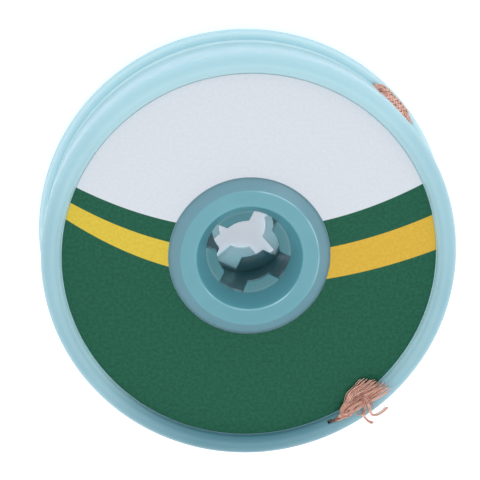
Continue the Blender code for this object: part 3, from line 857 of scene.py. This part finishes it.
# The fan of the free end: crimped bundles in two layers, which lean across one another. Places along
# it are shares of its length from the slot. The layer's and the ripple's heights are shares of half
# the thickness, and before the fan opens they are lower, by the closed share
FREE_END_BUNDLES = 16
FREE_END_BUNDLE_WIRES = 3
FREE_END_THICKNESS = 0.45 * MM
FREE_END_OPENS_AT = 0.25
FREE_END_OPENS_OVER = 0.3
FREE_END_CLOSED = 0.4
FREE_END_LEAN = 0.10
FREE_END_CROSSING = 0.75
FREE_END_MARGIN = 0.02
FREE_END_WAVES = 5.0
FREE_END_WAVE_REACH = 0.09 * MM
FREE_END_LAYER = 0.62
FREE_END_RIPPLE = 0.5
FREE_END_STRAY = 0.03 * MM
FREE_END_TIP_STRAY = 0.02 * MM
UPPER_LAYER_START = 0.34

# A bundle's wires: how many wire radii apart they lie, how much of the fan's width they fill where it
# is narrow, their disorder, and the span from which each one's steps past the tip are drawn
BUNDLE_SPACING = 2.3
BUNDLE_FILL = 0.9
BUNDLE_DISORDER = 0.25
END_STEPS = (-6, 2)

# Strands that hang loose from the free end, in millimetres: (number of wires, places)
LOOSE_STRANDS = (
    (9, ((15.1, -18.9, 16.3), (15.6, -19.9, 16.6), (15.85, -20.64, 16.5), (16.04, -21.29, 16.1),
         (16.39, -21.76, 15.7), (17.13, -21.54, 15.8), (17.85, -20.85, 16.1), (18.04, -20.47, 16.2))),
    (14, ((14.7, -19.0, 16.3), (15.1, -19.9, 16.6), (15.25, -20.63, 16.5), (15.05, -21.46, 16.25),
         (15.31, -22.12, 15.6), (15.93, -22.85, 15.1), (16.48, -23.00, 14.8))),
    (3, ((15.7, -18.9, 16.3), (16.15, -19.7, 16.5), (16.31, -20.36, 16.2))),
    (1, ((14.3, -20.6, 16.3), (14.05, -21.3, 16.25), (14.61, -21.64, 16.1), (14.83, -21.41, 16.1),
         (14.75, -20.8, 16.3))),
)

# The wires of a strand: how far aside they lie, how far they spread from the share of its length
# where it is closest together, and the span from which each one's missing steps are drawn
LOOSE_ASIDE = 0.09 * MM
LOOSE_SPREAD = 0.16 * MM
LOOSE_CLOSEST = 0.3
LOOSE_STEPS_OFF = (0, 4)

# Seed of the random draws, and a direction that no wire runs along
SEED = 7
ASIDE = (0.31, 0.52, 0.80)


def catmull_rom(values, steps):
    """A smooth row of values through the given ones, steps to each stretch."""
    rows = np.array(values, dtype=float)
    ends = np.vstack([2 * rows[0] - rows[1], rows, 2 * rows[-1] - rows[-2]])
    smooth_rows = []
    for before, here, there, after in zip(ends, ends[1:], ends[2:], ends[3:]):
        for share in np.arange(steps) / steps:
            smooth_rows.append(0.5 * (
                2 * here
                + (there - before) * share
                + (2 * before - 5 * here + 4 * there - after) * share**2
                + (3 * here - before - 3 * there + after) * share**3
            ))
    smooth_rows.append(rows[-1])
    return np.array(smooth_rows)


class Course:
    """A tape's middle line, its directions across and up, and its width and thickness."""

    def __init__(self, stations, spacing):
        rows = catmull_rom([[*p, *n, w, t] for p, n, w, t in stations], 24)
        steps = np.linalg.norm(np.diff(rows[:, :3], axis=0), axis=1)
        lengths = np.concatenate([[0.0], np.cumsum(steps)])
        count = max(2, int(lengths[-1] / spacing) + 1)
        self.distance = np.linspace(0.0, lengths[-1], count)
        rows = np.column_stack([np.interp(self.distance, lengths, column) for column in rows.T])
        self.middle = rows[:, :3]
        along = np.gradient(self.middle, axis=0)
        along /= np.linalg.norm(along, axis=1)[:, None]
        across = np.cross(along, rows[:, 3:6])
        self.across = across / np.linalg.norm(across, axis=1)[:, None]
        self.up = np.cross(self.across, along)
        self.width = rows[:, 6]
        self.thickness = rows[:, 7]

    def edge(self, turn, lift):
        """Points on the flat oval section: turn in full turns round it, lift outwards from it."""
        half = self.thickness / 2
        flat = np.maximum(self.width - self.thickness, 1e-6)
        around = 2 * flat + 2 * np.pi * half
        # u is the way along the section's outline, and (nx, ny) points out of it there
        u = np.mod(turn, 1.0) * around
        x = np.empty_like(u)
        y = np.empty_like(u)
        nx = np.empty_like(u)
        ny = np.empty_like(u)
        bend = np.pi * half
        top = u < flat
        right = (u >= flat) & (u < flat + bend)
        bottom = (u >= flat + bend) & (u < 2 * flat + bend)
        left = u >= 2 * flat + bend
        x[top], y[top] = (u - flat / 2)[top], half[top]
        nx[top], ny[top] = 0.0, 1.0
        angle = np.pi / 2 - (u - flat) / half
        x[right] = (flat / 2 + half * np.cos(angle))[right]
        y[right] = (half * np.sin(angle))[right]
        nx[right], ny[right] = np.cos(angle)[right], np.sin(angle)[right]
        x[bottom], y[bottom] = (flat * 1.5 + bend - u)[bottom], -half[bottom]
        nx[bottom], ny[bottom] = 0.0, -1.0
        angle = -np.pi / 2 - (u - 2 * flat - bend) / half
        x[left] = (-flat / 2 + half * np.cos(angle))[left]
        y[left] = (half * np.sin(angle))[left]
        nx[left], ny[left] = np.cos(angle)[left], np.sin(angle)[left]
        x = x + nx * lift
        y = y + ny * lift
        return self.middle + self.across * x[:, None] + self.up * y[:, None]


def wires_object(name, lines, radius, material, sides=5):
    """One mesh of round wires along lines of points, each closed at both ends."""
    vertices = []
    faces = []
    for line in lines:
        line = np.asarray(line)
        count = len(line)
        along = np.gradient(line, axis=0)
        along /= np.linalg.norm(along, axis=1)[:, None] + 1e-15
        side = np.cross(along, ASIDE)
        side /= np.linalg.norm(side, axis=1)[:, None] + 1e-15
        other = np.cross(along, side)
        base = len(vertices)
        turns = 2 * np.pi * np.arange(sides) / sides
        ring = (
            line[:, None, :]
            + radius * np.cos(turns)[None, :, None] * side[:, None, :]
            + radius * np.sin(turns)[None, :, None] * other[:, None, :]
        )
        vertices.extend(ring.reshape(-1, 3).tolist())
        for i in range(count - 1):
            for j in range(sides):
                k = (j + 1) % sides
                a = base + i * sides
                faces.append((a + j, a + k, a + sides + k, a + sides + j))
        faces.append(tuple(base + j for j in reversed(range(sides))))
        faces.append(tuple(base + (count - 1) * sides + j for j in range(sides)))
    mesh = bpy.data.meshes.new(name)
    mesh.from_pydata(vertices, [], faces)
    mesh.polygons.foreach_set("use_smooth", [True] * len(mesh.polygons))
    mesh.materials.append(material)
    made = bpy.data.objects.new(name, mesh)
    bpy.context.scene.collection.objects.link(made)
    return made


def weave_lines(course, wires, wire_radius, lift, rng):
    """The wires of a flat tubular braid: carriers wind both ways, each over two and under two."""
    lines = []
    turn = course.distance / WEAVE_PITCH
    around = 2 * (course.width - course.thickness) + np.pi * course.thickness
    for direction in (1, -1):
        for carrier in range(CARRIERS):
            phase = math.pi / 4 * direction + math.pi * carrier
            wave = direction * np.cos(CARRIERS * np.pi * turn + phase)
            for wire in range(wires):
                side = (wire - (wires - 1) / 2) * WIRE_SPACING * wire_radius / around
                stray = WIRE_STRAY * rng.normal()
                place = carrier / CARRIERS + direction * turn + side
                lines.append(course.edge(place, lift * wave - WIRE_INSET * wire_radius + stray))
    return lines


def outward(angle, tilt=0.0):
    lean = math.radians(tilt)
    return polar(math.cos(lean), angle, math.sin(lean))


def mix(first, last, share):
    return first + (last - first) * share


def smooth(share):
    return share * share * (3.0 - 2.0 * share)


def spiral_stations():
    """From the roll out to the rim, as (middle, outward direction, width, thickness)."""
    start_radius = ROLL_RADIUS - BRAID_THICKNESS / 2
    start_height = (ROLL_BOTTOM + ROLL_TOP) / 2
    stations = []
    for share in np.linspace(0.0, 1.0, 8):
        angle = mix(LEAVE_ANGLE, ARRIVE_ANGLE, share)
        radius = mix(start_radius, OUTER_TURN_RADIUS, smooth(share))
        height = mix(start_height, WINDOW_HEIGHT, smooth(share))
        stations.append((polar(radius, angle, height), outward(angle), BRAID_WIDTH, BRAID_THICKNESS))
    return stations


def window_stations():
    """Past the window, from rows of (distance from its middle, share of the bulge)."""
    end = WINDOW_LENGTH / 2
    half = ((WINDOW_APPROACH, 0.0), (end, 0.0), (end - 0.55 * MM, 0.08),
            (end - 0.95 * MM, 0.9), (end - 1.3 * MM, 1.0), (end * 0.3, 1.0))
    course = [*half, (0.0, 1.0), *((-offset, share) for offset, share in reversed(half))]
    stations = []
    for offset, share in course:
        angle = WINDOW_ANGLE + math.degrees((offset - WINDOW_SHIFT) / RING_RADIUS)
        middle = polar(OUTER_TURN_RADIUS + WINDOW_BULGE * share, angle, WINDOW_HEIGHT)
        stations.append((middle, outward(angle, WINDOW_TILT * share), BRAID_WIDTH, BRAID_THICKNESS))
    return stations


def climb_stations():
    """From the window up under the front flange."""
    start_angle = WINDOW_ANGLE - math.degrees(CLIMB_START / RING_RADIUS)
    stations = []
    for share in np.linspace(0.0, 1.0, 5):
        angle = mix(start_angle, CLIMB_ANGLE, share)
        height = mix(WINDOW_HEIGHT, CLIMB_TOP, smooth(share))
        middle = polar(OUTER_TURN_RADIUS, angle, height)
        stations.append((middle, outward(angle), BRAID_WIDTH, BRAID_THICKNESS))
    return stations


def slot_stations():
    """On to the slot, where the braid narrows to a twist."""
    entry_angle = SLOT_ANGLE + SLOT_SWING
    stations = []
    steps = 6
    for step in range(1, steps + 1):
        share = step / steps
        angle = mix(CLIMB_ANGLE, entry_angle, share)
        width = mix(BRAID_WIDTH, TWIST_WIDTH, smooth(share))
        thickness = mix(BRAID_THICKNESS, TWIST_THICKNESS, smooth(share))
        radius = CHAMBER_RADIUS - FIT_GAP - thickness / 2
        middle = polar(radius, angle, CLIMB_TOP + SLOT_ENTRY_RISE * share**3)
        stations.append((middle, outward(angle), width, thickness))
    return stations


def free_end_lines(rng):
    """Bundles of crimped wires that fan out between the free end's edges and cross one another."""
    start = slot_stations()[-1][0] / MM
    side = polar(TWIST_THICKNESS / MM / 2, SLOT_ANGLE, 0.0)
    edges = [(tuple(start - side), tuple(start + side)), *FREE_END_EDGES]
    rows = catmull_rom([[*left, *right] for left, right in edges], 12) * MM
    left, right = rows[:, :3], rows[:, 3:]
    share = np.linspace(0.0, 1.0, len(rows))
    width = np.linalg.norm(right - left, axis=1)
    sideways = (right - left) / width[:, None]
    lift = np.cross(sideways, np.gradient((left + right) / 2, axis=0))
    lift /= np.linalg.norm(lift, axis=1)[:, None]
    opened = smooth(np.clip((share - FREE_END_OPENS_AT) / FREE_END_OPENS_OVER, 0.0, 1.0))
    lines = []
    for bundle in range(FREE_END_BUNDLES):
        upper = bundle % 2 == 1
        layer = 1.0 if upper else -1.0
        place = (bundle + 0.5) / FREE_END_BUNDLES
        place = place + FREE_END_LEAN * layer * (share - FREE_END_CROSSING) * opened
        phase = 2 * np.pi * (FREE_END_WAVES * share + rng.random())
        middle = np.clip(place, FREE_END_MARGIN, 1.0 - FREE_END_MARGIN) * width
        middle += FREE_END_WAVE_REACH * opened * np.sin(phase)
        height = (FREE_END_LAYER * layer + FREE_END_RIPPLE * np.cos(phase)) * FREE_END_THICKNESS / 2
        height *= mix(FREE_END_CLOSED, 1.0, opened)
        gap = np.minimum(BUNDLE_SPACING * WIRE_RADIUS, BUNDLE_FILL * width / FREE_END_BUNDLES)
        for wire in range(FREE_END_BUNDLE_WIRES):
            beside = wire - (FREE_END_BUNDLE_WIRES - 1) / 2
            offset = (beside + BUNDLE_DISORDER * rng.normal()) * gap
            across = middle + offset
            rise = height + FREE_END_STRAY * rng.normal()
            line = left + sideways * across[:, None] + lift * rise[:, None]
            if upper:
                line = line[int(UPPER_LAYER_START * len(line)):]
            reach = int(rng.integers(*END_STEPS))
            if reach < 0:
                line = line[:reach]
            else:
                step = line[-1] - line[-2] + rng.normal(size=3) * FREE_END_TIP_STRAY
                line = np.vstack([line, *(line[-1] + step * k for k in range(1, reach + 1))])
            lines.append(line)
    return lines


def loose_lines(rng):
    """The strands that hang from the free end, each a thin bundle of wires."""
    lines = []
    for count, places in LOOSE_STRANDS:
        rows = catmull_rom(places, 8) * MM
        share = np.linspace(0.0, 1.0, len(rows))[:, None]
        for _ in range(count):
            aside = rng.normal(size=3) * LOOSE_ASIDE
            spread = rng.normal(size=3) * LOOSE_SPREAD
            stop = len(rows) - rng.integers(*LOOSE_STEPS_OFF)
            line = rows + aside + spread * (share - LOOSE_CLOSEST) ** 2
            lines.append(line[:stop] if count > 1 else rows)
    return lines


def hidden_weave(name, stations, material, rng):
    """The coarse weave of a stretch inside the bobbin."""
    course = Course(stations, HIDDEN_SPACING)
    lines = weave_lines(course, 1, HIDDEN_WIRE_RADIUS, HIDDEN_WEAVE_LIFT, rng)
    return wires_object(name, lines, HIDDEN_WIRE_RADIUS, material, HIDDEN_SIDES)


def build_braid(material, wound):
    rng = np.random.default_rng(SEED)
    corners = [
        (ROLL_RADIUS, ROLL_TOP, ROLL_FILLET),
        (ROLL_RADIUS, ROLL_BOTTOM, ROLL_FILLET),
        (ROLL_INNER_RADIUS, ROLL_BOTTOM, ROLL_INNER_FILLET),
        (ROLL_INNER_RADIUS, ROLL_TOP, ROLL_INNER_FILLET),
    ]
    roll = turned("braid_roll", rounded(corners), wound, ROLL_SEGMENTS)
    window = Course(window_stations(), WINDOW_SPACING)
    window_lines = weave_lines(window, WINDOW_WIRES, WIRE_RADIUS, WINDOW_WEAVE_LIFT, rng)
    window_lines += [catmull_rom(places, 5) * MM for places in WINDOW_FRAY]
    window_weave = wires_object("braid_at_window", window_lines, WIRE_RADIUS, material)
    run_weave = hidden_weave("braid_run_to_rim", spiral_stations(), material, rng)
    climb_weave = hidden_weave("braid_climb", climb_stations() + slot_stations(), material, rng)
    free_lines = free_end_lines(rng) + loose_lines(rng)
    free_end = wires_object("braid_free_end", free_lines, WIRE_RADIUS, material)
    for piece in (roll, window_weave, run_weave, climb_weave, free_end):
        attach(piece, "root")
        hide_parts("braid")


# The set: floor, light and camera

FLOOR_SHADES = ((0.90, 0.90, 0.90), (0.93, 0.93, 0.93))
FLOOR_GLOW = (0.36, 0.38, 0.43)
FLOOR_HALF_SIZE = 3.0
FLOOR_HEIGHT = -0.02 * MM

SKY_COLOR = (0.97, 0.985, 1.0, 1.0)
SKY_STRENGTH = 0.78

# The lights: name, place, size, power in watts, and whether glossy surfaces show it
LIGHTS = (
    ("key", (-0.05, 0.45, 0.75), (0.7, 0.5), 0.35, False),
    ("overhead", (0.0, -0.2, 0.9), (0.8, 0.8), 1.7, True),
    ("fill", (0.12, -0.55, 0.22), (0.5, 0.3), 0.25, True),
    ("side", (0.38, 0.50, 0.28), (0.5, 0.1), 0.2, True),
)
LIGHT_AIM = (0.0, 0.0, 0.01)

# The camera leans away from the bobbin's axis, towards an angle round it
CAMERA_LEAN = 16.5
CAMERA_LEAN_ANGLE = 103.0
CAMERA_DISTANCE = 0.535
CAMERA_TARGET = (-0.9 * MM, 0.72 * MM, 10.0 * MM)
CAMERA_ROLL = 0.4
CAMERA_LENS = 307.0
CAMERA_SENSOR = 36.0


def build_floor():
    n = Nodes("pale_floor")
    tone = n.ramp(n.noise(n.place(), scale=5.0, detail=2.0), *NOISE_SPAN)
    material = n.set(
        Base_Color=n.mix(tone, *FLOOR_SHADES),
        Roughness=0.9,
        Emission_Color=FLOOR_GLOW,
        Emission_Strength=1.0,
    )
    shape = bmesh.new()
    bmesh.ops.create_grid(shape, x_segments=1, y_segments=1, size=FLOOR_HALF_SIZE)
    floor = finished("floor", shape, material)
    floor.location.z = FLOOR_HEIGHT


def area_light(name, place, size, power, in_gloss):
    data = bpy.data.lights.new(name, "AREA")
    data.shape = "RECTANGLE"
    data.size, data.size_y = size
    data.energy = power
    light = bpy.data.objects.new(name, data)
    light.visible_glossy = in_gloss
    light.location = place
    toward = Vector(LIGHT_AIM) - Vector(place)
    light.rotation_euler = toward.to_track_quat("-Z", "Y").to_euler()
    bpy.context.scene.collection.objects.link(light)


def build_light():
    world = bpy.data.worlds.new("studio")
    bpy.context.scene.world = world
    world.use_nodes = True
    background = world.node_tree.nodes["Background"]
    background.inputs["Color"].default_value = SKY_COLOR
    background.inputs["Strength"].default_value = SKY_STRENGTH
    for light in LIGHTS:
        area_light(*light)


def build_camera():
    data = bpy.data.cameras.new("camera")
    data.sensor_width = CAMERA_SENSOR
    data.lens = CAMERA_LENS
    data.dof.use_dof = False
    camera = bpy.data.objects.new("camera", data)
    lean = math.radians(CAMERA_LEAN)
    back = polar(math.sin(lean), CAMERA_LEAN_ANGLE, math.cos(lean))
    target = Vector(CAMERA_TARGET)
    up = Vector((0.0, 1.0, 0.0))
    right = up.cross(back).normalized()
    up = back.cross(right)
    turn = Matrix((right, up, back)).transposed().to_4x4()
    roll = Matrix.Rotation(math.radians(CAMERA_ROLL), 4, "Z")
    camera.matrix_world = Matrix.Translation(target + back * CAMERA_DISTANCE) @ turn @ roll
    bpy.context.scene.collection.objects.link(camera)
    bpy.context.scene.camera = camera
    bpy.context.scene.view_settings.view_transform = "Standard"


build_shells(teal_plastic(), thin_plastic())
build_label(printed_paper())
build_braid(copper("copper_wire", *WIRE_COPPER), copper("wound_copper", *ROLL_COPPER, weave=True))
build_floor()
build_light()
build_camera()
